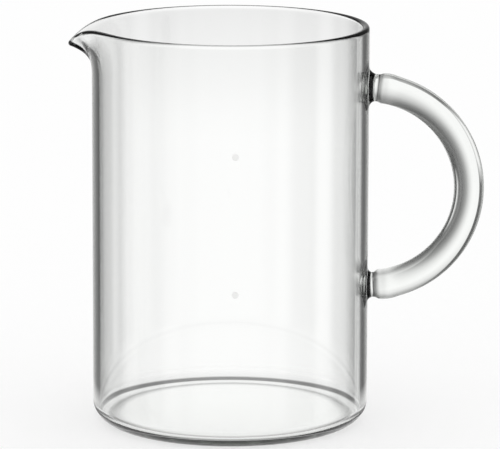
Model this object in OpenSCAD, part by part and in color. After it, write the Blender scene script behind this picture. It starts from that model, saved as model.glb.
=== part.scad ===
// Coffee server: a straight glass jug with a pulled pouring lip and a bent glass rod for a handle.
// The origin is the middle of the base, +Z goes up, +X towards the handle and -X towards the lip.

/* [Vessel] */
// Outer diameter of the straight glass wall
body_d = 95; // [80:1:120]
// Height of the rim above the table
body_h = 138; // [115:1:180]
// Thickness of the wall, which the rounded rim keeps
wall = 2.4; // [1.6:0.1:3.4]

/* [Base] */
// Radius of the heel, where the wall turns under outside
heel_r = 7.5; // [4:0.5:9]
// Radius of the corner between the wall and the floor inside
floor_corner_r = 3.5; // [2:0.1:6]
// Height of the floor's edge above the table
floor_h = 3.3; // [2.5:0.1:6]
// Rise of the floor from its edge to its middle
floor_crown = 1.6; // [0.4:0.1:3]
// Width of the flat ring that the jug stands on, between the heel and the hollow under the base
foot_ring_w = 1; // [0.5:0.5:10]
// Depth of the hollow at its middle
hollow_h = 1.2; // [0.5:0.1:3]

/* [Lip] */
// Stretch of wall below the rim that was softened to pull the lip
lip_h = 20; // [12:1:30]
// Width of that stretch, measured round the wall
lip_w = 66; // [50:1:72]
// How far the wide throat of the lip is pulled out
throat_reach = 5.4; // [3:0.1:7]
// Half width of the throat where it is half as far out, measured round the wall
throat_w = 13; // [8:0.5:18]
// How much further the narrow beak is pulled out in front of the throat
beak_reach = 3; // [1:0.1:4]
// Half width of the beak, measured round the wall
beak_w = 3.6; // [3:0.1:6]
// How far the tip hangs below the rim
lip_drop = 5.8; // [2:0.1:7]
// How much thinner the glass is drawn at the tip
lip_thinning = 0.3; // [0:0.05:0.6]

/* [Handle] */
// Diameter of the solid glass rod
rod_d = 10.3; // [7:0.1:13]
// Radius of the bend along the middle of the rod, whose centre lies on the wall
bend_r = 34.4; // [28:0.1:40]
// Depth below the rim at which the middle of the rod meets the wall above
rod_below_rim = 21.1; // [15:0.1:30]

/* [Welds] */
// How deep the flame drew the rod in, all round, at the neck of the upper weld
upper_pinch = 0.5; // [0.2:0.05:1.2]
// Radius of the fillet between that neck and the wall
upper_fillet_r = 2.65; // [1.2:0.05:4]
// How deep the rod is drawn in at the neck of the lower weld
lower_pinch = 0.85; // [0.2:0.05:1.2]
// Radius of the fillet between that neck and the wall
lower_fillet_r = 1.7; // [1.2:0.05:4]
// Radius of the shoulder between the rod and either neck
shoulder_r = 2.4; // [1.6:0.1:3]

/* [Fill marks] */
// Diameter of an enamel dot
mark_d = 2.3; // [1.5:0.1:4]
// Thickness of the enamel
mark_t = 0.12; // [0.08:0.02:0.3]
// Height of the dot at half of the capacity
lower_mark_h = 53.7; // [30:0.1:70]
// Height of the dot at the full capacity
upper_mark_h = 100.5; // [80:0.1:110]
// Turn of both dots from the handle, seen from above
mark_turn = -84; // [-120:1:-60]

/* [Hidden] */
$fn = 96;

// How far every cutting tool runs past the glass that it cuts
overrun = 1;
// How deep the lip's shell runs into the wall that it joins, and how far it lies below its surfaces
seam_run = 1;
seam_tuck = 0.03;
// Share of the lip's width and height over which its slopes are taken
slope_step_share = 0.002;

outer_r = body_d / 2;
inner_r = outer_r - wall;
middle_r = outer_r - wall / 2;
bead_h = body_h - wall / 2;
hollow_d = body_d - 2 * (heel_r + foot_ring_w);
rod_r = rod_d / 2;
bend_h = body_h - rod_below_rim - bend_r;

// The lip points away from the handle
LIP_TURN = 180;

glass = [0.84, 0.89, 0.88, 0.4];
enamel = [0.86, 0.87, 0.88];

// Radius of the sphere whose cap has the given width across and rise
function cap_sphere_r(across, rise) = (pow(across / 2, 2) + rise * rise) / (2 * rise);

// Half a section of such a cap, whose circle is so large that it needs many steps
cap_steps = 1440;
module cap_profile(across, rise) {
    sphere_r = cap_sphere_r(across, rise);
    intersection() {
        translate([0, rise - sphere_r]) circle(r = sphere_r, $fn = cap_steps);
        square([across / 2, rise]);
    }
}

// Outline of the jug's outside, as half a section: the heel, the wall and the outer half of the rim
module outside_profile() {
    translate([outer_r - heel_r, heel_r]) circle(r = heel_r);
    square([outer_r - heel_r, heel_r]);
    translate([0, heel_r]) square([outer_r, bead_h - heel_r]);
}

// Outline of the space inside, with its rounded corner and its crowned floor
module inside_profile() {
    difference() {
        union() {
            translate([inner_r - floor_corner_r, floor_h + floor_corner_r]) circle(r = floor_corner_r);
            translate([0, floor_h]) square([inner_r - floor_corner_r, floor_corner_r]);
            translate([0, floor_h + floor_corner_r])
                square([inner_r, body_h + overrun - floor_h - floor_corner_r]);
        }
        translate([0, floor_h]) cap_profile(2 * (inner_r - floor_corner_r), floor_crown);
    }
}

// The jug as it leaves the mould, round all the way, with its rim rounded in the flame
module round_jug() {
    rotate_extrude() {
        difference() {
            outside_profile();
            inside_profile();
            cap_profile(hollow_d, hollow_h);
        }
        translate([middle_r, bead_h]) circle(r = wall / 2);
    }
}

// Turn round the wall that an arc of the given length on its outside takes
function turn_of(arc) = arc / outer_r * 180 / PI;

// The stretch of rim and wall that the lip takes the place of
module lip_window() {
    half_turn = turn_of(lip_w / 2);
    rotate(LIP_TURN - half_turn)
        translate([0, 0, body_h - lip_h])
            rotate_extrude(angle = 2 * half_turn)
                translate([inner_r - overrun, 0]) square([wall + 2 * overrun, lip_h + overrun]);
}

// How far out the lip is at an arc from its middle: a wide throat and a narrow beak, which fade
// to the plain wall at the edges of the lip
function bell(x) = 1 / (1 + x * x);
function fade(arc) = pow(max(0, 1 - pow(2 * arc / lip_w, 2)), 2);
function lip_reach(arc) =
    fade(arc) * (throat_reach * bell(arc / throat_w) + beak_reach * pow(bell(arc / beak_w), 2));

// Share of the tip's reach at that arc
function pull_share(arc) = lip_reach(arc) / (throat_reach + beak_reach);

// Middle of the glass at an arc round the wall and a climb from 0 at the lip's foot to 1 at the rim.
// It leans out with the cube of the climb, and sinks most where it is pulled furthest.
lean_power = 3;
sink_power = 1.65;
spread_power = 1.55;
function lip_middle(arc, climb) =
    let (
        rise = max(0, climb),
        turn = LIP_TURN + turn_of(arc),
        out = middle_r + lip_reach(arc) * pow(rise, lean_power),
        sink = lip_drop * pow(pull_share(arc), spread_power) * pow(rise, sink_power),
        up = body_h - lip_h + (bead_h - body_h + lip_h) * climb - sink
    )
    [out * cos(turn), out * sin(turn), up];

// Slopes of that surface round the wall and up it, and the two directions square to the rim
function along(arc, climb) =
    let (step = slope_step_share * lip_w)
    lip_middle(arc + step, climb) - lip_middle(arc - step, climb);
function upward(arc, climb) =
    lip_middle(arc, climb + slope_step_share) - lip_middle(arc, climb - slope_step_share);
function unit(v) = v / norm(v);
function inward(arc, climb) = unit(cross(upward(arc, climb), along(arc, climb)));
function beyond(arc) = unit(cross(along(arc, 1), inward(arc, 1)));

// Half the thickness of the glass, which thins towards the tip
function half_glass(arc, climb) =
    (wall - lip_thinning * pull_share(arc) * max(0, climb)) / 2 - seam_tuck;

// One section of the lip from its foot outside, over the rounded rim, to its foot inside
lip_rows = 14;
rim_steps = 6;
function lip_section(arc) =
    let (foot = -seam_run / lip_h)
    [
        for (i = [0 : lip_rows])
            let (climb = foot + (1 - foot) * i / lip_rows)
            lip_middle(arc, climb) - half_glass(arc, climb) * inward(arc, climb),
        for (i = [1 : rim_steps - 1])
            let (turn = 180 * i / rim_steps)
            lip_middle(arc, 1)
                + half_glass(arc, 1) * (sin(turn) * beyond(arc) - cos(turn) * inward(arc, 1)),
        for (i = [lip_rows : -1 : 0])
            let (climb = foot + (1 - foot) * i / lip_rows)
            lip_middle(arc, climb) + half_glass(arc, climb) * inward(arc, climb)
    ];

// The pulled lip, lofted through sections that crowd together towards the tip
lip_sections = 24;
crowd_power = 1.7;
module lip_shell() {
    reach_arc = lip_w / 2 + seam_run;
    arcs = [
        for (i = [-lip_sections : lip_sections])
            sign(i) * reach_arc * pow(abs(i) / lip_sections, crowd_power)
    ];
    sections = [for (arc = arcs) lip_section(arc)];
    count = len(sections[0]);
    last = len(sections) - 1;
    points = [for (section = sections) each section];
    function at(s, p) = s * count + p % count;
    sides = [
        for (s = [0 : last - 1])
            for (p = [0 : count - 1])
                each [
                    [at(s, p), at(s, p + 1), at(s + 1, p)],
                    [at(s + 1, p), at(s, p + 1), at(s + 1, p + 1)]
                ]
    ];
    // Each end is flat strips between the outside and the inside of the wall
    ends = [
        for (p = [0 : floor((count - 2) / 2)])
            each [
                [at(0, p), at(0, count - 1 - p), at(0, p + 1)],
                [at(0, p + 1), at(0, count - 1 - p), at(0, count - 2 - p)],
                [at(last, p), at(last, p + 1), at(last, count - 1 - p)],
                [at(last, p + 1), at(last, count - 2 - p), at(last, count - 1 - p)]
            ]
    ];
    polyhedron(points, concat(sides, ends));
}

module vessel() {
    color(glass) {
        difference() {
            round_jug();
            lip_window();
        }
        lip_shell();
    }
}

// A fillet runs from the wall to the neck, and a shoulder from there to the rod. Their arcs meet
// smoothly, so their centres are as far apart as their radii together.
function shoulder_run(pinch, fillet_r) = sqrt(2 * (shoulder_r + fillet_r) * pinch - pinch * pinch);

// Distance from the wall to where the rod has its full diameter again, and the bend's turn there
function stand(pinch, fillet_r) = fillet_r + shoulder_run(pinch, fillet_r);
function bend_turn(distance) = asin(distance / bend_r);

module handle() {
    start_turn = bend_turn(stand(lower_pinch, lower_fillet_r)) - 90;
    end_turn = 90 - bend_turn(stand(upper_pinch, upper_fillet_r));
    color(glass)
        translate([outer_r, 0, bend_h])
            rotate([90, 0, 0])
                rotate(start_turn)
                    rotate_extrude(angle = end_turn - start_turn)
                        translate([bend_r, 0]) circle(r = rod_r);
}

// Half a section of a weld, as distances from the wall and radii, from its foot to the rod's end
weld_steps = 8;
function weld_profile(pinch, fillet_r) =
    let (meet_turn = asin(shoulder_run(pinch, fillet_r) / (shoulder_r + fillet_r)))
    [
        for (i = [0 : weld_steps])
            let (turn = -90 + (meet_turn + 90) * i / weld_steps)
            [fillet_r + fillet_r * sin(turn), rod_r - pinch + fillet_r - fillet_r * cos(turn)],
        for (i = [weld_steps - 1 : -1 : 0])
            let (turn = meet_turn * i / weld_steps)
            [
                stand(pinch, fillet_r) - shoulder_r * sin(turn),
                rod_r - shoulder_r + shoulder_r * cos(turn)
            ]
    ];

// A ring of a weld, square to the bend at a distance from the wall and laid on the wall at its foot
weld_sides = 32;
function weld_ring(distance, radius, full_stand, side) =
    let (
        turn = bend_turn(max(0, distance)),
        on_wall = 1 - max(0, distance) / full_stand
    )
    [
        for (i = [0 : weld_sides - 1])
            let (
                across = radius * cos(360 * i / weld_sides),
                out = bend_r + radius * sin(360 * i / weld_sides),
                dip = sqrt(outer_r * outer_r - across * across) - outer_r - seam_tuck
            )
            [
                outer_r + min(0, distance) + out * sin(turn) + on_wall * dip,
                across,
                bend_h + side * out * cos(turn)
            ]
    ];

// A weld: rings lofted from inside the wall to the rod's end, with the wall's glass cut away
module weld(pinch, fillet_r, side) {
    profile = weld_profile(pinch, fillet_r);
    full_stand = stand(pinch, fillet_r);
    rings = concat(
        [weld_ring(-overrun, profile[0][1], full_stand, side)],
        [for (place = profile) weld_ring(place[0], place[1], full_stand, side)]
    );
    last = len(rings) - 1;
    function at(ring, i) = ring * weld_sides + (side > 0 ? i : weld_sides - i) % weld_sides;
    sides = [
        for (ring = [0 : last - 1])
            for (i = [0 : weld_sides - 1])
                each [
                    [at(ring, i), at(ring + 1, i), at(ring, i + 1)],
                    [at(ring, i + 1), at(ring + 1, i), at(ring + 1, i + 1)]
                ]
    ];
    ends = [
        [for (i = [0 : weld_sides - 1]) at(0, i)],
        [for (i = [weld_sides - 1 : -1 : 0]) at(last, i)]
    ];
    color(glass)
        difference() {
            polyhedron([for (ring = rings) each ring], concat(sides, ends));
            translate([0, 0, -overrun]) cylinder(r = outer_r, h = body_h + 2 * overrun);
        }
}

module upper_weld() {
    weld(upper_pinch, upper_fillet_r, 1);
}

module lower_weld() {
    weld(lower_pinch, lower_fillet_r, -1);
}

// A dot of fired enamel that follows the curve of the wall
module fill_mark(height) {
    color(enamel)
        intersection() {
            difference() {
                translate([0, 0, height - mark_d]) cylinder(r = outer_r + mark_t, h = 2 * mark_d);
                translate([0, 0, height - mark_d - overrun])
                    cylinder(r = outer_r, h = 2 * (mark_d + overrun));
            }
            rotate(mark_turn)
                translate([inner_r, 0, height])
                    rotate([0, 90, 0]) cylinder(r = mark_d / 2, h = wall + mark_t + overrun);
        }
}

module upper_fill_mark() {
    fill_mark(upper_mark_h);
}

module lower_fill_mark() {
    fill_mark(lower_mark_h);
}

vessel();
handle();
upper_weld();
lower_weld();
upper_fill_mark();
lower_fill_mark();
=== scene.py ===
"""Coffee server: a straight borosilicate jug with a pulled pouring lip and a bent rod handle.

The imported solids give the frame. The glass is made again here as one skin, because on the real jug
the vessel, the rod and the two welds are one piece of glass, and light has to pass through it unbroken.
"""

import math

import bmesh
import bpy
import numpy as np
from mathutils import Matrix, Vector


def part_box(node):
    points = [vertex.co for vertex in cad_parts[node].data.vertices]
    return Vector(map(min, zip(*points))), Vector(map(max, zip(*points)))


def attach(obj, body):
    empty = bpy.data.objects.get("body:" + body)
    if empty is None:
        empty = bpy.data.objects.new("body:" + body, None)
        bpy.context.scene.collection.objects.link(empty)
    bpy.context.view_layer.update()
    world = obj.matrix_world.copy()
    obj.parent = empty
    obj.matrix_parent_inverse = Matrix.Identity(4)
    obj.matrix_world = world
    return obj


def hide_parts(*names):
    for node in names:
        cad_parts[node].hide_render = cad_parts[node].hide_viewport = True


bl_info = {
    "name": "Glass Coffee Server",
    "version": (1, 0, 0),
    "blender": (4, 5, 0),
    "location": "View3D > Sidebar > Server",
    "description": "Builds a glass coffee server with a pulled lip and a fused rod handle",
    "category": "Add Mesh",
}

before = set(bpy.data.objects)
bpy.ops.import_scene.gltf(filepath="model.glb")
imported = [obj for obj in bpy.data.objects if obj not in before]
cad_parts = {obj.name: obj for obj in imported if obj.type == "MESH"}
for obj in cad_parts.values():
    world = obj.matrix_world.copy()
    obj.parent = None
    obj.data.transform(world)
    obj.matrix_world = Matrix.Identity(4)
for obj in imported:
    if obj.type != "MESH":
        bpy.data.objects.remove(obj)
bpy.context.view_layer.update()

BODY = "root"
MM = 0.001


def span(node, axis):
    """Size of a CAD node along an axis."""
    low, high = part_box(node)
    return high[axis] - low[axis]


def length(name, description, millimetres):
    """A property for a size, given in millimetres and kept in metres."""
    return bpy.props.FloatProperty(
        name=name, description=description, default=millimetres * MM, unit="LENGTH", precision=5
    )


def ratio(name, description, value):
    """A property for a plain number."""
    return bpy.props.FloatProperty(name=name, description=description, default=value, precision=4)


def linear(code):
    """An sRGB hex colour as linear red, green, blue and alpha."""
    channels = [int(code[i : i + 2], 16) / 255 for i in (1, 3, 5)]
    return [c / 12.92 if c <= 0.04045 else ((c + 0.055) / 1.055) ** 2.4 for c in channels] + [1.0]


def colour(name, description, code):
    """A property for a colour, given as sRGB hex."""
    return bpy.props.FloatVectorProperty(
        name=name, description=description, default=linear(code), subtype="COLOR", size=4, min=0, max=1
    )


class ServerVessel(bpy.types.PropertyGroup):
    """Sizes of the blown jug"""

    body_d: length("Body diameter", "Outer diameter of the straight wall", span("vessel", 1) / MM)
    body_h: length("Body height", "Height of the rim above the table", span("vessel", 2) / MM)
    wall: length("Wall", "Thickness of the wall, which the rounded rim keeps", 2.4)
    heel_r: length("Heel radius", "Radius where the wall turns under outside", 7.5)
    floor_corner_r: length("Floor corner radius", "Radius between the wall and the floor inside", 3.5)
    floor_h: length("Floor height", "Height of the floor's edge above the table", 3.3)
    floor_crown: length("Floor crown", "Rise of the floor from its edge to its middle", 1.6)
    foot_ring_w: length("Foot ring width", "Flat ring that the jug stands on", 1)
    hollow_h: length("Hollow depth", "Depth of the hollow under the base at its middle", 1.2)


class ServerLip(bpy.types.PropertyGroup):
    """Sizes of the pulled pouring lip, measured round the outside of the wall"""

    lip_h: length("Lip height", "Stretch of wall below the rim that was softened", 20)
    lip_w: length("Lip width", "Width of that stretch", 66)
    throat_reach: length("Throat reach", "How far the wide throat is pulled out", 5.4)
    throat_w: length("Throat half width", "Half width where it is half as far out", 13)
    beak_reach: length("Beak reach", "How much further the narrow beak is pulled out", 3)
    beak_w: length("Beak half width", "Half width of the beak", 3.6)
    lip_drop: length("Lip drop", "How far the tip hangs below the rim", 5.8)
    lip_thinning: length("Lip thinning", "How much thinner the glass is drawn at the tip", 0.3)
    lean_power: ratio("Lean", "Power of the climb with which the lip leans out", 3)
    sink_power: ratio("Sink", "Power of the climb with which it sinks", 1.65)
    spread_power: ratio("Spread", "Power of the pull with which it sinks", 1.55)


class ServerHandle(bpy.types.PropertyGroup):
    """Sizes of the bent rod and of the welds that hold it"""

    rod_d: length("Rod diameter", "Diameter of the solid glass rod", span("handle", 1) / MM)
    bend_r: length("Bend radius", "Radius along the middle of the rod", 34.4)
    rod_below_rim: length("Rod below rim", "Depth below the rim of the rod's upper end", 21.1)
    upper_pinch: length("Upper pinch", "How deep the rod is drawn in at the upper neck", 0.5)
    upper_fillet_r: length("Upper fillet", "Radius between that neck and the wall", 2.65)
    lower_pinch: length("Lower pinch", "How deep the rod is drawn in at the lower neck", 0.85)
    lower_fillet_r: length("Lower fillet", "Radius between that neck and the wall", 1.7)
    shoulder_r: length("Shoulder radius", "Radius between the rod and either neck", 2.4)
    swell: length("Swell", "How much the pushed glass stands proud beside either neck", 0.3)
    swell_at: length("Swell distance", "Distance of that swelling from the wall", 6.4)
    swell_w: length("Swell width", "Half width of that swelling along the rod", 2.2)
    dent: length("Dent", "How far the softened wall is pushed in behind either weld", 0.35)
    dent_r: length("Dent radius", "Radius of that dent, round the middle of the rod's foot", 6.5)


class ServerFinish(bpy.types.PropertyGroup):
    """Colours and optics of the materials"""

    ior: ratio("Refractive index", "Of borosilicate glass", 1.473)
    absorbed: colour("Colour at depth", "What is left of white light deep in the glass", "#CCDCC6")
    density: ratio("Density", "Absorption per metre of glass", 12)
    enamel: colour("Enamel", "Colour of the fired dots", "#F7F7F5")
    enamel_pores: colour("Enamel pores", "Colour of the fine pores in the dots", "#E6E7E6")
    enamel_ior: ratio("Enamel's refractive index", "Of the glassy binder in the enamel", 1.52)
    enamel_grain: ratio("Enamel grain", "Scale of the noise that makes the pores, per metre", 3500)
    enamel_gloss: ratio("Enamel gloss", "Roughness of the enamel between its pores", 0.3)
    enamel_dull: ratio("Enamel dullness", "Roughness of the enamel in its pores", 0.55)


class ServerStudio(bpy.types.PropertyGroup):
    """The photograph's camera and the plain pale studio"""

    focal_px: ratio("Focal length", "Focal length in pixels of the 500 wide photograph", 4266)
    distance: length("Distance", "Camera's distance from the jug's axis", 1441.5)
    height: length("Height", "Camera's height above the table", 355.6)
    turn: ratio("Turn", "Camera's turn round the jug from straight in front, in degrees", 4)
    pitch: ratio("Pitch", "Camera's downward tilt, in degrees", 11.267)
    yaw: ratio("Yaw", "Camera's turn to the side, in degrees", 0.269)
    roll: ratio("Roll", "Camera's roll, in degrees", 0.157)
    floor_reach: length("Floor reach", "Half of the floor's side", 6000)
    backdrop_at: length("Backdrop distance", "How far behind the jug's axis the backdrop stands", 240)


SETTINGS = {
    "server_vessel": ServerVessel,
    "server_lip": ServerLip,
    "server_handle": ServerHandle,
    "server_finish": ServerFinish,
    "server_studio": ServerStudio,
}


# Forms of the jug

# The lip points away from the handle
LIP_TURN = math.pi
# Share of the lip's width and height over which its slopes are taken
SLOPE_STEP = 0.002
# Power that makes the hollow and the floor's crown run flat into their edges
DISH_POWER = 1.5
# Widths of the swelling between its middle and the plain rod
SWELL_TAIL = 2.5

# Fineness of the mesh
WINDOW_STEPS = 16
WINDOW_REACH = 9.5 * MM
RING_SIDES = 4 * WINDOW_STEPS
LIP_COLUMNS = 44
LIP_CROWDING = 1.4
PLAIN_COLUMNS = 80
ROWS_BELOW_WELDS = (4, 6)
ROWS_BELOW_RIM = 18
LIP_ROWS = 26
HOLLOW_ROWS = 16
FOOT_ROWS = 4
HEEL_ROWS = 16
RIM_ROWS = 12
CORNER_ROWS = 14
FLOOR_ROWS = 16
APRON_RINGS = 6
FILLET_RINGS = 14
SHOULDER_RINGS = 6
STRAIGHT_RINGS = 16
BEND_RINGS = 120
SEAM_GAP = 0.15 * MM


def bell(x):
    """A smooth hump, 1 at its middle and a half at 1."""
    return 1 / (1 + x * x)


def lip_reach(arc, lip):
    """How far out the lip is at an arc from its middle, fading to the plain wall at its edges."""
    fade = np.maximum(0, 1 - (2 * arc / lip.lip_w) ** 2) ** 2
    throat = lip.throat_reach * bell(arc / lip.throat_w)
    beak = lip.beak_reach * bell(arc / lip.beak_w) ** 2
    return fade * (throat + beak)


def pull_share(arc, lip):
    """Share of the tip's reach at that arc."""
    return lip_reach(arc, lip) / (lip.throat_reach + lip.beak_reach)


def glass_middle(arc, climb, jug, lip):
    """Middle of the glass at an arc round the wall and a climb from 0 at the lip's foot to 1 at the rim."""
    rise = np.maximum(0, climb)
    turn = LIP_TURN + arc / (jug.body_d / 2)
    out = (jug.body_d - jug.wall) / 2 + lip_reach(arc, lip) * rise**lip.lean_power
    sink = lip.lip_drop * pull_share(arc, lip) ** lip.spread_power * rise**lip.sink_power
    up = jug.body_h - lip.lip_h + (lip.lip_h - jug.wall / 2) * climb - sink
    return np.stack([out * np.cos(turn), out * np.sin(turn), up], -1)


def unit(v):
    """Vectors brought to length 1."""
    return v / np.linalg.norm(v, axis=-1, keepdims=True)


def glass_frame(arc, climb, jug, lip):
    """Middle of the glass with its slopes round the wall and up it, and the direction inwards."""
    step = SLOPE_STEP * lip.lip_w
    along = glass_middle(arc + step, climb, jug, lip) - glass_middle(arc - step, climb, jug, lip)
    above = glass_middle(arc, climb + SLOPE_STEP, jug, lip)
    below = glass_middle(arc, climb - SLOPE_STEP, jug, lip)
    return glass_middle(arc, climb, jug, lip), along, unit(np.cross(above - below, along))


def half_glass(arc, climb, jug, lip):
    """Half of the glass's thickness, which the pull has drawn thinner towards the tip."""
    thinned = jug.wall - lip.lip_thinning * pull_share(arc, lip) * np.maximum(0, climb)
    return (thinned / 2)[..., None]


def wall_row(arc, height, side, jug, lip):
    """A row of points round the wall at a height before the pull. Side is -1 outside and 1 inside."""
    climb = np.full_like(arc, (height - jug.body_h + lip.lip_h) / (lip.lip_h - jug.wall / 2))
    place, _, inward = glass_frame(arc, climb, jug, lip)
    return place + side * half_glass(arc, climb, jug, lip) * inward


def dented_row(arc, height, jug, lip, handle):
    """A row of the inside wall, with a dent behind each weld."""
    row = wall_row(arc, height, 1, jug, lip)
    aside = math.pi * jug.body_d / 2 - np.abs(arc)
    for foot_height in weld_heights(jug, handle):
        away = np.hypot(aside, height - foot_height) / handle.dent_r
        row[:, :2] *= 1 - (handle.dent * np.exp(-(away**4)) / np.hypot(row[:, 0], row[:, 1]))[:, None]
    return row


def rim_row(arc, turn, jug, lip):
    """A row of points over the rounded rim, with a turn from 0 outside to half a circle inside."""
    climb = np.ones_like(arc)
    place, along, inward = glass_frame(arc, climb, jug, lip)
    beyond = unit(np.cross(along, inward))
    return place + half_glass(arc, climb, jug, lip) * (math.sin(turn) * beyond - math.cos(turn) * inward)


def plain_row(arc, radius, height, jug):
    """A level row of points at one radius."""
    turn = LIP_TURN + arc / (jug.body_d / 2)
    return np.stack([radius * np.cos(turn), radius * np.sin(turn), np.full_like(turn, height)], -1)


def between(first, last, steps):
    """Even values from first to last, without the last."""
    return [first + (last - first) * i / steps for i in range(steps)]


def window_values():
    """Places across a window in the grid, spread so that its edge has even turns about its middle."""
    turns = [math.pi / 4 * (2 * i / WINDOW_STEPS - 1) for i in range(WINDOW_STEPS + 1)]
    return [WINDOW_REACH * math.tan(turn) for turn in turns]


def column_arcs(jug, lip):
    """Arcs of the grid's columns from the lip's middle, once round from the middle of the handle."""
    half_way = math.pi * jug.body_d / 2
    handle_side = [half_way - w for w in window_values() if w >= 0][::-1]
    lip_side = [(lip.lip_w / 2) * (i / LIP_COLUMNS) ** LIP_CROWDING for i in range(LIP_COLUMNS + 1)]
    plain = between(lip_side[-1], handle_side[0], PLAIN_COLUMNS)[1:]
    right = lip_side + plain + handle_side[:-1]
    left = [-a for a in right[1:]][::-1]
    return np.array([-half_way] + left + right)


def weld_heights(jug, handle):
    """Heights at which the middle of the rod meets the wall, below and above."""
    upper = jug.body_h - handle.rod_below_rim
    return upper - 2 * handle.bend_r, upper


def outer_heights(jug, handle):
    """Heights of the outer grid's rows from the heel to the rim, and the first row of each window."""
    heights = []
    starts = []
    last = jug.heel_r
    for middle_height, steps in zip(weld_heights(jug, handle), ROWS_BELOW_WELDS):
        heights += between(last, middle_height - WINDOW_REACH, steps)
        starts.append(len(heights))
        heights += [middle_height + w for w in window_values()][:-1]
        last = middle_height + WINDOW_REACH
    top = jug.body_h - jug.wall / 2
    heights += between(last, top, ROWS_BELOW_RIM) + [top]
    return heights, starts


def vessel_rows(jug, lip, handle):
    """Rows of points from the middle of the underside, up outside, over the rim and down to the floor."""
    arcs = column_arcs(jug, lip)
    outer_r = jug.body_d / 2
    inner_r = outer_r - jug.wall
    hollow_r = outer_r - jug.heel_r - jug.foot_ring_w
    rows = []
    for share in between(0, 1, HOLLOW_ROWS)[1:] + [1]:
        rows.append(plain_row(arcs, hollow_r * share, jug.hollow_h * (1 - share**2) ** DISH_POWER, jug))
    for radius in between(hollow_r, outer_r - jug.heel_r, FOOT_ROWS)[1:]:
        rows.append(plain_row(arcs, radius, 0, jug))
    for turn in between(0, math.pi / 2, HEEL_ROWS):
        radius = outer_r - jug.heel_r + jug.heel_r * math.sin(turn)
        rows.append(plain_row(arcs, radius, jug.heel_r * (1 - math.cos(turn)), jug))
    heights, starts = outer_heights(jug, handle)
    starts = [s + len(rows) for s in starts]
    rows += [wall_row(arcs, h, -1, jug, lip) for h in heights]
    rows += [rim_row(arcs, turn, jug, lip) for turn in between(0, math.pi, RIM_ROWS)[1:]]
    top = jug.body_h - jug.wall / 2
    foot = jug.body_h - lip.lip_h
    corner = jug.floor_h + jug.floor_corner_r
    inside = between(top, foot, LIP_ROWS) + [h for h in heights[::-1] if corner < h < foot]
    rows += [dented_row(arcs, h, jug, lip, handle) for h in inside]
    for turn in between(0, math.pi / 2, CORNER_ROWS):
        radius = inner_r - jug.floor_corner_r + jug.floor_corner_r * math.cos(turn)
        rows.append(plain_row(arcs, radius, corner - jug.floor_corner_r * math.sin(turn), jug))
    floor_r = inner_r - jug.floor_corner_r
    for share in between(1, 0, FLOOR_ROWS):
        height = jug.floor_h + jug.floor_crown * (1 - share**2) ** DISH_POWER
        rows.append(plain_row(arcs, floor_r * share, height, jug))
    return rows, starts


def shoulder_run(pinch, fillet_r, handle):
    """Length along the rod from the narrowest place of a neck to the plain rod."""
    both = handle.shoulder_r + fillet_r
    return math.sqrt(2 * both * pinch - pinch * pinch)


def weld_stations(pinch, fillet_r, handle):
    """Distances from the wall and radii of a weld's rings, from its foot out along the rod."""
    rod_r = handle.rod_d / 2
    run = shoulder_run(pinch, fillet_r, handle)
    meet = math.asin(run / (handle.shoulder_r + fillet_r))
    stations = []
    for turn in between(-math.pi / 2, meet, FILLET_RINGS) + [meet]:
        stations.append((
            fillet_r + fillet_r * math.sin(turn),
            rod_r - pinch + fillet_r - fillet_r * math.cos(turn),
        ))
    for turn in between(meet, 0, SHOULDER_RINGS)[1:]:
        stations.append((
            fillet_r + run - handle.shoulder_r * math.sin(turn),
            rod_r - handle.shoulder_r + handle.shoulder_r * math.cos(turn),
        ))
    end = bend_end(handle)
    stations += [(d, rod_r) for d in between(fillet_r + run, end, STRAIGHT_RINGS) + [end]]
    return stations


def bend_end(handle):
    """Distance from the wall past which the rod is plain."""
    return handle.swell_at + SWELL_TAIL * handle.swell_w


def swelling(distance, handle):
    """How far the pushed glass stands proud of the rod at a distance from the wall."""
    away = (distance - handle.swell_at) / handle.swell_w
    return handle.swell * math.exp(-away * away) * min(1, distance / handle.swell_at)


def weld_ring(distance, radius, stand, side, jug, handle):
    """A ring of a weld, square to the bend, laid on the wall at its foot and swollen on its outer side."""
    outer_r = jug.body_d / 2
    bend_h = jug.body_h - handle.rod_below_rim - handle.bend_r
    bend_turn = math.asin(distance / handle.bend_r)
    on_wall = max(0, 1 - distance / stand)
    ring = []
    for i in range(RING_SIDES):
        turn = 2 * math.pi * i / RING_SIDES
        outer_side = (1 + side * math.sin(turn)) / 2
        swollen = radius + swelling(distance, handle) * outer_side
        across = swollen * math.cos(turn)
        out = handle.bend_r + side * swollen * math.sin(turn)
        dip = math.sqrt(outer_r**2 - across**2) - outer_r
        ring.append((
            outer_r + out * math.sin(bend_turn) + on_wall * dip,
            across,
            bend_h + side * out * math.cos(bend_turn),
        ))
    return ring


class Skin:
    """A mesh under way: its points and its faces."""

    def __init__(self):
        self.points = []
        self.faces = []

    def add_ring(self, ring):
        """Adds a row of points and gives their numbers."""
        first = len(self.points)
        self.points += [tuple(p) for p in ring]
        return list(range(first, len(self.points)))

    def bridge(self, ring_a, ring_b, keep=None):
        """Faces between two closed rings. Seen from outside, a runs to the left of b."""
        count = len(ring_a)
        for i in range(count):
            if keep is None or keep(i):
                j = (i + 1) % count
                self.faces.append((ring_a[i], ring_a[j], ring_b[j], ring_b[i]))

    def cap(self, ring, pole, turned):
        """A fan of faces between a ring and a pole."""
        tip = self.add_ring([pole])[0]
        for i in range(len(ring)):
            j = (i + 1) % len(ring)
            self.faces.append((ring[j], ring[i], tip) if turned else (ring[i], ring[j], tip))

    def mesh(self, name):
        """The finished mesh."""
        mesh = bpy.data.meshes.new(name)
        mesh.from_pydata(self.points, [], self.faces)
        return mesh


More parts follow.
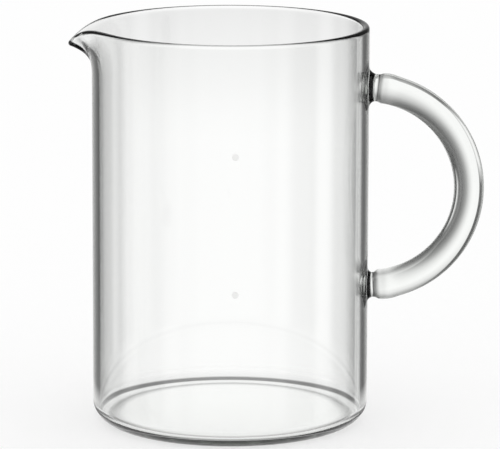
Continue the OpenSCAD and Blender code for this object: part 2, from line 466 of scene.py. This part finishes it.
def add_vessel(skin, jug, lip, handle):
    """The jug's own skin, with a square window where each weld goes. Gives the windows' edges."""
    rows, starts = vessel_rows(jug, lip, handle)
    rings = [skin.add_ring(row) for row in rows]
    count = len(rings[0])
    half = WINDOW_STEPS // 2
    window_columns = {c % count for c in range(-half, half)}
    window_rows = {s + i for s in starts for i in range(WINDOW_STEPS)}
    for r in range(len(rings) - 1):
        keep = (lambda i: i not in window_columns) if r in window_rows else None
        skin.bridge(rings[r], rings[r + 1], keep)
    skin.cap(rings[0], (0, 0, jug.hollow_h), True)
    skin.cap(rings[-1], (0, 0, jug.floor_h + jug.floor_crown), False)
    edges = []
    for start in starts:
        edge = []
        for turn in range(RING_SIDES):
            step = turn + half
            side, place = divmod(step % RING_SIDES, WINDOW_STEPS)
            column, row = [
                (half, place), (half - place, WINDOW_STEPS), (-half, WINDOW_STEPS - place), (place - half, 0),
            ][side]
            edge.append(rings[start + row][column % count])
        edges.append(edge)
    return edges


def add_weld(skin, edge, side, pinch, fillet_r, jug, handle):
    """The skin from a window's edge over the wall, the fillet and the neck to the plain rod."""
    outer_r = jug.body_d / 2
    stations = weld_stations(pinch, fillet_r, handle)
    stand = fillet_r + shoulder_run(pinch, fillet_r, handle)
    foot = weld_ring(*stations[0], stand, side, jug, handle)
    last = edge
    for share in between(0, 1, APRON_RINGS)[1:]:
        ring = []
        for i, (x, y, z) in enumerate(foot):
            edge_x, edge_y, edge_z = skin.points[edge[i]]
            turn = (1 - share) * math.atan2(edge_y, edge_x) + share * math.atan2(y, x)
            height = (1 - share) * edge_z + share * z
            ring.append((outer_r * math.cos(turn), outer_r * math.sin(turn), height))
        ring = skin.add_ring(ring)
        skin.bridge(last, ring)
        last = ring
    for distance, radius in stations:
        ring = skin.add_ring(weld_ring(distance, radius, stand, side, jug, handle))
        skin.bridge(last, ring)
        last = ring


# Sockets of the colour mixing node
COLOUR_A, COLOUR_B, MIXED_COLOUR = 6, 7, 2


def add_node(tree, kind, settings=(), links=()):
    """Adds a node, sets its properties or inputs by name, and links its inputs from other outputs."""
    node = tree.nodes.new(kind)
    for key, value in dict(settings).items():
        if isinstance(key, str) and hasattr(node, key):
            setattr(node, key, value)
        else:
            node.inputs[key].default_value = value
    for key, output in dict(links).items():
        tree.links.new(output, node.inputs[key])
    return node


def new_material(name):
    """An empty material, and its node tree."""
    material = bpy.data.materials.new(name)
    material.use_nodes = True
    material.node_tree.nodes.clear()
    return material, material.node_tree


def rod_tree():
    """Geometry nodes that sweep a circle along an arc: the plain length of the bent rod."""
    tree = bpy.data.node_groups.new("Bent glass rod", "GeometryNodeTree")
    for name, kind in (
        ("Bend radius", "NodeSocketFloat"), ("Rod radius", "NodeSocketFloat"),
        ("Start turn", "NodeSocketFloat"), ("Sweep", "NodeSocketFloat"),
        ("Rings", "NodeSocketInt"), ("Sides", "NodeSocketInt"),
        ("Bend middle", "NodeSocketVector"), ("Glass", "NodeSocketMaterial"),
    ):
        tree.interface.new_socket(name, in_out="INPUT", socket_type=kind)
    tree.interface.new_socket("Geometry", in_out="OUTPUT", socket_type="NodeSocketGeometry")
    asked = tree.nodes.new("NodeGroupInput").outputs
    arc = add_node(tree, "GeometryNodeCurveArc", {}, {
        "Resolution": asked["Rings"], "Radius": asked["Bend radius"],
        "Start Angle": asked["Start turn"], "Sweep Angle": asked["Sweep"],
    })
    circle = add_node(tree, "GeometryNodeCurvePrimitiveCircle", {}, {
        "Resolution": asked["Sides"], "Radius": asked["Rod radius"],
    })
    tube = add_node(tree, "GeometryNodeCurveToMesh", {}, {
        "Curve": arc.outputs["Curve"], "Profile Curve": circle.outputs["Curve"],
    })
    stood = add_node(tree, "GeometryNodeTransform", {"Rotation": (math.pi / 2, 0, 0)}, {
        "Geometry": tube.outputs["Mesh"], "Translation": asked["Bend middle"],
    })
    real = add_node(tree, "GeometryNodeRealizeInstances", {}, {"Geometry": stood.outputs["Geometry"]})
    glazed = add_node(tree, "GeometryNodeSetMaterial", {}, {
        "Geometry": real.outputs["Geometry"], "Material": asked["Glass"],
    })
    out = tree.nodes.new("NodeGroupOutput")
    tree.links.new(glazed.outputs["Geometry"], out.inputs["Geometry"])
    return tree


def made_by_nodes(name, tree, values):
    """The plain mesh that a geometry node tree makes from named input values."""
    carrier = bpy.data.objects.new(name, bpy.data.meshes.new(name))
    bpy.context.scene.collection.objects.link(carrier)
    modifier = carrier.modifiers.new(name, "NODES")
    modifier.node_group = tree
    for socket in tree.interface.items_tree:
        if socket.in_out == "INPUT" and socket.name in values:
            modifier[socket.identifier] = values[socket.name]
    bpy.context.view_layer.update()
    ready = carrier.evaluated_get(bpy.context.evaluated_depsgraph_get())
    mesh = bpy.data.meshes.new_from_object(ready)
    carrier.modifiers.remove(modifier)
    bpy.data.objects.remove(carrier)
    return mesh


def rod_mesh(jug, handle, glass):
    """The plain length of the rod, between the last rings of the two welds."""
    start = math.asin(bend_end(handle) / handle.bend_r)
    return made_by_nodes("rod", rod_tree(), {
        "Bend radius": handle.bend_r, "Rod radius": handle.rod_d / 2,
        "Start turn": start - math.pi / 2, "Sweep": math.pi - 2 * start,
        "Rings": BEND_RINGS, "Sides": RING_SIDES,
        "Bend middle": (jug.body_d / 2, 0, jug.body_h - handle.rod_below_rim - handle.bend_r),
        "Glass": glass,
    })


def new_piece(name, mesh, material):
    """An object for a finished mesh, with its material, shaded smooth."""
    piece = bpy.data.objects.new(name, mesh)
    bpy.context.scene.collection.objects.link(piece)
    mesh.materials.clear()
    mesh.materials.append(material)
    mesh.shade_smooth()
    return piece


def glass_material(finish):
    """Borosilicate glass, blown and flame polished: clear and mirror smooth, with a faint green depth."""
    glass, tree = new_material("Flame polished borosilicate glass")
    body = add_node(tree, "ShaderNodeBsdfPrincipled", {
        "Base Color": linear("#FFFFFF"), "Roughness": 0.0, "IOR": finish.ior, "Transmission Weight": 1.0,
    })
    depth = add_node(tree, "ShaderNodeVolumeAbsorption", {
        "Color": finish.absorbed, "Density": finish.density,
    })
    add_node(tree, "ShaderNodeOutputMaterial", {}, {
        "Surface": body.outputs["BSDF"], "Volume": depth.outputs["Volume"],
    })
    return glass


def enamel_material(finish):
    """Fired screen enamel: an opaque, slightly grainy white glass with a soft sheen."""
    enamel, tree = new_material("Fired white enamel")
    place = add_node(tree, "ShaderNodeTexCoord")
    grain = add_node(tree, "ShaderNodeTexNoise", {"Scale": finish.enamel_grain, "Detail": 3.0}, {
        "Vector": place.outputs["Object"],
    }).outputs[0]
    tone = add_node(tree, "ShaderNodeMix", {
        "data_type": "RGBA", COLOUR_A: finish.enamel, COLOUR_B: finish.enamel_pores,
    }, {0: grain})
    sheen = add_node(tree, "ShaderNodeMapRange", {
        "To Min": finish.enamel_gloss, "To Max": finish.enamel_dull,
    }, {0: grain})
    body = add_node(tree, "ShaderNodeBsdfPrincipled", {"IOR": finish.enamel_ior}, {
        "Base Color": tone.outputs[MIXED_COLOUR], "Roughness": sheen.outputs[0],
    })
    add_node(tree, "ShaderNodeOutputMaterial", {}, {"Surface": body.outputs["BSDF"]})
    return enamel


class SERVER_OT_glass(bpy.types.Operator):
    """Makes the jug, the rod and the welds as one skin of glass"""

    bl_idname = "server.glass"
    bl_label = "Glass jug with handle"

    def execute(self, context):
        scene = context.scene
        jug, lip, handle = scene.server_vessel, scene.server_lip, scene.server_handle
        glass = glass_material(scene.server_finish)
        skin = Skin()
        lower_edge, upper_edge = add_vessel(skin, jug, lip, handle)
        add_weld(skin, lower_edge, -1, handle.lower_pinch, handle.lower_fillet_r, jug, handle)
        add_weld(skin, upper_edge, 1, handle.upper_pinch, handle.upper_fillet_r, jug, handle)
        mesh = skin.mesh("glass_jug")
        fused = bmesh.new()
        fused.from_mesh(mesh)
        fused.from_mesh(rod_mesh(jug, handle, glass))
        ends = [v for v in fused.verts if v.is_boundary]
        bmesh.ops.remove_doubles(fused, verts=ends, dist=SEAM_GAP)
        bmesh.ops.recalc_face_normals(fused, faces=fused.faces)
        open_edges = sum(1 for e in fused.edges if len(e.link_faces) != 2)
        if open_edges:
            raise RuntimeError(f"the glass has {open_edges} open edges")
        fused.to_mesh(mesh)
        fused.free()
        piece = new_piece("glass_jug", mesh, glass)
        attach(piece, BODY)
        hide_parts("vessel", "handle", "upper_weld", "lower_weld")
        return {"FINISHED"}


class SERVER_OT_marks(bpy.types.Operator):
    """Fires the two enamel fill dots on the wall"""

    bl_idname = "server.marks"
    bl_label = "Fill dots"

    def execute(self, context):
        enamel = enamel_material(context.scene.server_finish)
        for node in ("upper_fill_mark", "lower_fill_mark"):
            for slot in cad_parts[node].material_slots:
                slot.material = enamel
        return {"FINISHED"}


# The photograph's camera: film width in millimetres, photograph width in pixels, far limit in metres
FILM_W = 36
PHOTO_W = 500
FAR_CLIP = 20

# Colour of the paper floor, and how much of it the eye sees evenly lit
PAPER = "#FEFEFE"
PAPER_FILL = 0.6

# What is seen through and in the glass. Each table holds pairs of a place and a grey level.
# Floor under the base, by millimetres from the jug's axis: painted shade in two rings, where the foot and the
# heel would shade it
PAINTED_SHADE_RINGS = (
    (0, 0.97), (37, 0.97), (39.5, 0.55), (41, 0.3), (43, 0.92), (47, 0.95), (49, 0.22), (54, 0.22),
    (58, 0.9), (100, 0.95),
)
# How much of that floor shows
FLOOR_COVER = ((0, 1), (60, 1), (85, 0), (100, 0))
# Painted light on the backdrop, fading to painted shade to the right and upwards, by millimetres to the right
# of the jug's axis and by millimetres above the table
PAINTED_LIGHT_ASIDE = (
    (0, 1), (45, 1), (60, 0.95), (70, 0.88), (82, 0.78), (90, 0.7), (103, 0.55), (115, 0.41), (127, 0.31),
    (140, 0.24), (155, 0.19), (175, 0.13), (200, 0.09), (310, 0.03), (540, 0.03),
)
PAINTED_LIGHT_UPRIGHT = (
    (-80, 1), (55, 1), (66, 0.98), (80, 0.93), (90, 0.9), (100, 0.87), (116, 0.81), (131, 0.72), (147, 0.63),
    (164, 0.55), (183, 0.46), (207, 0.4), (240, 0.35), (300, 0.3), (600, 0.3),
)
# How much of the backdrop shows, by millimetres to the right. Below its foot only the far part goes on.
SHEET_COVER = ((-60, 0), (-45, 1), (170, 1), (200, 0), (305, 0), (320, 1), (500, 1), (540, 0))
SHEET_FOOT = -77
SHEET_LOW = -275
SHEET_FAR_PART = 300
SHEET_GRID = 5
# Surroundings, by degrees aside of a view and by degrees above its line of sight
ASIDE = (
    (0, 1), (2.5, 1), (4, 0.94), (8, 0.8), (12, 0.61), (15, 0.48), (18, 0.36), (22, 0.27), (30, 0.14),
    (39, 0.09), (45, 0.13), (50, 0.45), (58, 0.6), (66, 0.4), (90, 0.35),
)
UPRIGHT = (
    (-90, 0.5), (-46, 0.4), (-36, 0.5), (-30, 0.6), (-24, 0.78), (-19, 0.91), (-15, 0.95), (-10, 1),
    (0, 0.99), (3, 0.93), (7, 0.86), (11, 0.8), (15, 0.76), (20, 0.76), (30, 0.82), (45, 0.9), (60, 0.92),
    (90, 0.92),
)
# Softly edged panels for other views, and the wide one before the jug
NARROW = ((0, 1), (4, 1), (7, 0.85), (10, 0.6), (14, 0.25), (18, 0.08), (90, 0))
SHALLOW = ((-90, 0), (-18, 0.1), (-13, 0.6), (-9, 1), (5, 1), (9, 0.6), (13, 0.1), (90, 0))
WIDE = ((0, 1), (25, 1), (40, 0.75), (60, 0.45), (90, 0.3))
TALL = ((-90, 0.2), (-40, 0.6), (-25, 1), (15, 1), (40, 0.95), (90, 0.92))
# A view's turn round the jug and height above the table in degrees, and its levels aside and above
PANELS = (
    (4, 11.3, ASIDE, UPRIGHT),
    (184, 11.3, WIDE, TALL),
    (45, 25, NARROW, SHALLOW),
    (90, 3, NARROW, SHALLOW),
    (135, 14, NARROW, SHALLOW),
    (225, 15, NARROW, SHALLOW),
    (270, 9, NARROW, SHALLOW),
    (315, 14, NARROW, SHALLOW),
)


class SERVER_OT_studio(bpy.types.Operator):
    """Sets up the pale floor, the soft light and the photograph's camera"""

    bl_idname = "server.studio"
    bl_label = "Studio"

    def execute(self, context):
        studio = context.scene.server_studio
        add_camera(studio)
        add_floor(studio)
        add_backdrop(studio)
        add_world()
        return {"FINISHED"}


def add_camera(studio):
    """The photograph's camera: a long lens, a little above the rim, turned towards the handle's side."""
    pitch, yaw, roll = (math.radians(a) for a in (studio.pitch, studio.yaw, studio.roll))
    right = Vector((math.cos(yaw), -math.sin(yaw), 0))
    ahead = Vector((math.sin(yaw) * math.cos(pitch), math.cos(yaw) * math.cos(pitch), -math.sin(pitch)))
    up = right.cross(ahead)
    right, up = (
        math.cos(roll) * right + math.sin(roll) * up,
        math.cos(roll) * up - math.sin(roll) * right,
    )
    axes = Matrix((right, up, -ahead)).transposed().to_4x4()
    place = Matrix.Translation((0, -studio.distance, studio.height)) @ axes
    camera = bpy.data.objects.new("camera", bpy.data.cameras.new("camera"))
    camera.matrix_world = Matrix.Rotation(math.radians(studio.turn), 4, "Z") @ place
    camera.data.sensor_width = FILM_W
    camera.data.lens = studio.focal_px * FILM_W / PHOTO_W
    camera.data.clip_end = FAR_CLIP
    bpy.context.scene.collection.objects.link(camera)
    bpy.context.scene.camera = camera


def ramp_node(tree, value, stops):
    """A ramp of grey levels over a value that runs from the first stop's place to the last one's."""
    low, high = stops[0][0], stops[-1][0]
    share = add_node(tree, "ShaderNodeMapRange", {"From Min": low, "From Max": high}, {0: value})
    ramp = add_node(tree, "ShaderNodeValToRGB", {}, {"Fac": share.outputs[0]})
    bands = ramp.color_ramp.elements
    for i, (place, level) in enumerate(stops):
        share = (place - low) / (high - low)
        band = bands[i] if i < 2 else bands.new(share)
        band.position = share
        band.color = (level, level, level, 1)
    return ramp.outputs["Color"]


def maths(tree, operation, links, numbers=()):
    """The result of a maths node, from other nodes' outputs and plain numbers by socket."""
    return add_node(tree, "ShaderNodeMath", {"operation": operation, **dict(numbers)}, links).outputs[0]


def vector_maths(tree, operation, links, numbers=()):
    """The vector or the number that a vector maths node gives."""
    node = add_node(tree, "ShaderNodeVectorMath", {"operation": operation, **dict(numbers)}, links)
    return node.outputs["Value" if operation in ("LENGTH", "DOT_PRODUCT") else "Vector"]


def blend(tree, share, first, second):
    """A share of the second shader over the first."""
    return add_node(tree, "ShaderNodeMixShader", {}, {0: share, 1: first, 2: second}).outputs[0]


def through_glass(tree):
    """1 for what the eye sees through or in the glass, and 0 for what it sees bare and for light."""
    path = add_node(tree, "ShaderNodeLightPath").outputs
    seen = maths(tree, "MAXIMUM", {0: path["Is Glossy Ray"], 1: path["Is Transmission Ray"]})
    direct = maths(tree, "LESS_THAN", {0: path["Diffuse Depth"]}, {1: 0.5})
    return maths(tree, "MULTIPLY", {0: seen, 1: direct})


def stage_object(name, points, faces, material):
    """A part of the stage, which isn't the object's."""
    mesh = bpy.data.meshes.new(name)
    mesh.from_pydata(points, [], faces)
    mesh.materials.append(material)
    thing = bpy.data.objects.new(name, mesh)
    bpy.context.scene.collection.objects.link(thing)
    return mesh


def add_floor(studio):
    """A wide matt white floor. Through the glass only the part right under the jug shows, as a glowing sheet
    with painted shade in two rings.
    """
    white, tree = new_material("Matt white paper floor with painted shade under the jug")
    matt = add_node(tree, "ShaderNodeBsdfDiffuse", {"Color": linear(PAPER)}).outputs[0]
    clear = add_node(tree, "ShaderNodeBsdfTransparent").outputs[0]
    glow = add_node(tree, "ShaderNodeEmission", {"Color": linear(PAPER), "Strength": 1.0}).outputs[0]
    eye = add_node(tree, "ShaderNodeLightPath").outputs["Is Camera Ray"]
    paper = blend(tree, maths(tree, "MULTIPLY", {0: eye}, {1: PAPER_FILL}), matt, glow)
    place = add_node(tree, "ShaderNodeTexCoord").outputs["Object"]
    away = maths(tree, "DIVIDE", {0: vector_maths(tree, "LENGTH", {0: place})}, {1: MM})
    # Painted shade: seen through the glass the floor glows, darker in two rings where the foot and the heel
    # would shade it
    painted_ring_shade = add_node(tree, "ShaderNodeEmission", {"Strength": 1.0}, {
        "Color": ramp_node(tree, away, PAINTED_SHADE_RINGS),
    }).outputs[0]
    near = blend(tree, ramp_node(tree, away, FLOOR_COVER), clear, painted_ring_shade)
    add_node(tree, "ShaderNodeOutputMaterial", {}, {"Surface": blend(tree, through_glass(tree), paper, near)})
    reach = studio.floor_reach
    corners = [(-reach, -reach, 0), (reach, -reach, 0), (reach, reach, 0), (-reach, reach, 0)]
    stage_object("floor", corners, [(0, 1, 2, 3)], white)


def backdrop_material():
    """A glowing sheet with painted light that fades to painted shade to the sides and upwards, seen only
    through the glass.
    """
    white, tree = new_material("Backdrop glowing with painted light and shade")
    clear = add_node(tree, "ShaderNodeBsdfTransparent").outputs[0]
    # The sheet glows with the painted light and painted shade held in its paint attribute
    paint = add_node(tree, "ShaderNodeAttribute", {"attribute_name": "paint"}).outputs
    painted_light_sheet = add_node(tree, "ShaderNodeEmission", {"Strength": 1.0}, {"Color": paint["Color"]}).outputs[0]
    shown = maths(tree, "MULTIPLY", {0: through_glass(tree), 1: paint["Alpha"]})
    add_node(tree, "ShaderNodeOutputMaterial", {}, {"Surface": blend(tree, shown, clear, painted_light_sheet)})
    return white


def add_backdrop(studio):
    """A flat upright sheet behind the jug, painted with light that darkens upwards and to the right."""
    turn = math.radians(studio.turn)
    right = np.array((math.cos(turn), math.sin(turn), 0))
    middle = studio.backdrop_at * np.array((-math.sin(turn), math.cos(turn), 0))
    across = np.arange(SHEET_COVER[0][0], SHEET_COVER[-1][0] + SHEET_GRID, SHEET_GRID)
    heights = np.arange(SHEET_LOW, PAINTED_LIGHT_UPRIGHT[-1][0] + SHEET_GRID, SHEET_GRID)
    aside = np.interp(across, *zip(*PAINTED_LIGHT_ASIDE))
    covers = np.interp(across, *zip(*SHEET_COVER))
    points, painted_light_and_cover = [], []
    for height, level in zip(heights, np.interp(heights, *zip(*PAINTED_LIGHT_UPRIGHT))):
        for x, share, cover in zip(across, aside, covers):
            points.append(tuple(middle + x * MM * right + (0, 0, height * MM)))
            hidden = x <= SHEET_FAR_PART and height < SHEET_FOOT
            # Painted light level of the sheet at this point, and how much of it shows
            painted_light_and_cover += [level * share] * 3 + [0.0 if hidden else cover]
    step = len(across)
    faces = [
        (row + i, row + i + 1, row + step + i + 1, row + step + i)
        for row in range(0, len(points) - step, step) for i in range(step - 1)
    ]
    mesh = stage_object("backdrop", points, faces, backdrop_material())
    mesh.color_attributes.new("paint", "FLOAT_COLOR", "POINT").data.foreach_set("color", painted_light_and_cover)


def panel_level(tree, look, turn, height, sideways, upright):
    """Level of one view's soft panel in the direction that is looked in."""
    bearing = math.radians(turn)
    ahead = vector_maths(tree, "DOT_PRODUCT", {0: look}, {1: (-math.sin(bearing), math.cos(bearing), 0)})
    across = vector_maths(tree, "DOT_PRODUCT", {0: look}, {1: (math.cos(bearing), math.sin(bearing), 0)})
    up = add_node(tree, "ShaderNodeSeparateXYZ", {}, {0: look}).outputs["Z"]
    aside = maths(tree, "ABSOLUTE", {0: maths(tree, "ARCSINE", {0: across})})
    lean = maths(tree, "DEGREES", {0: aside})
    rise = maths(tree, "DEGREES", {0: maths(tree, "ARCTAN2", {0: up, 1: ahead})})
    rise = maths(tree, "ADD", {0: rise}, {1: height})
    level = vector_maths(tree, "MULTIPLY", {
        0: ramp_node(tree, lean, sideways), 1: ramp_node(tree, rise, upright),
    })
    before = maths(tree, "GREATER_THAN", {0: ahead}, {1: 0.0})
    return vector_maths(tree, "MULTIPLY", {0: level, 1: before})


def add_world():
    """Plain white light. Through and in the glass, soft panels show behind each view and before it."""
    world = bpy.data.worlds.new("Studio")
    world.use_nodes = True
    tree = world.node_tree
    tree.nodes.clear()
    look = add_node(tree, "ShaderNodeTexCoord").outputs["Generated"]
    levels = [panel_level(tree, look, *panel) for panel in PANELS]
    brightest = levels[0]
    for level in levels[1:]:
        brightest = vector_maths(tree, "MAXIMUM", {0: level, 1: brightest})
    mix = add_node(tree, "ShaderNodeMix", {"data_type": "RGBA", COLOUR_A: linear("#FFFFFF")}, {
        0: through_glass(tree), COLOUR_B: brightest,
    })
    light = add_node(tree, "ShaderNodeBackground", {"Strength": 1.0}, {"Color": mix.outputs[MIXED_COLOUR]})
    add_node(tree, "ShaderNodeOutputWorld", {}, {"Surface": light.outputs[0]})
    bpy.context.scene.world = world


class SERVER_PT_panel(bpy.types.Panel):
    """Holds the buttons and the settings of the server"""

    bl_idname = "SERVER_PT_panel"
    bl_label = "Glass coffee server"
    bl_space_type = "VIEW_3D"
    bl_region_type = "UI"
    bl_category = "Server"

    def draw(self, context):
        for operator in OPERATORS:
            self.layout.operator(operator.bl_idname)
        for name in SETTINGS:
            group = getattr(context.scene, name)
            box = self.layout.box()
            for key in group.__annotations__:
                box.prop(group, key)


OPERATORS = (SERVER_OT_studio, SERVER_OT_glass, SERVER_OT_marks)


def register():
    """Adds the settings, the operators and the panel to Blender."""
    for name, group in SETTINGS.items():
        bpy.utils.register_class(group)
        setattr(bpy.types.Scene, name, bpy.props.PointerProperty(type=group))
    for cls in (*OPERATORS, SERVER_PT_panel):
        bpy.utils.register_class(cls)


def unregister():
    """Takes them out again."""
    for cls in (SERVER_PT_panel, *reversed(OPERATORS)):
        bpy.utils.unregister_class(cls)
    for name, group in reversed(list(SETTINGS.items())):
        delattr(bpy.types.Scene, name)
        bpy.utils.unregister_class(group)


def main():
    """Builds the studio and the server."""
    register()
    bpy.context.scene.view_settings.view_transform = "Standard"
    bpy.ops.server.studio()
    bpy.ops.server.glass()
    bpy.ops.server.marks()


if __name__ == "__main__":
    main()
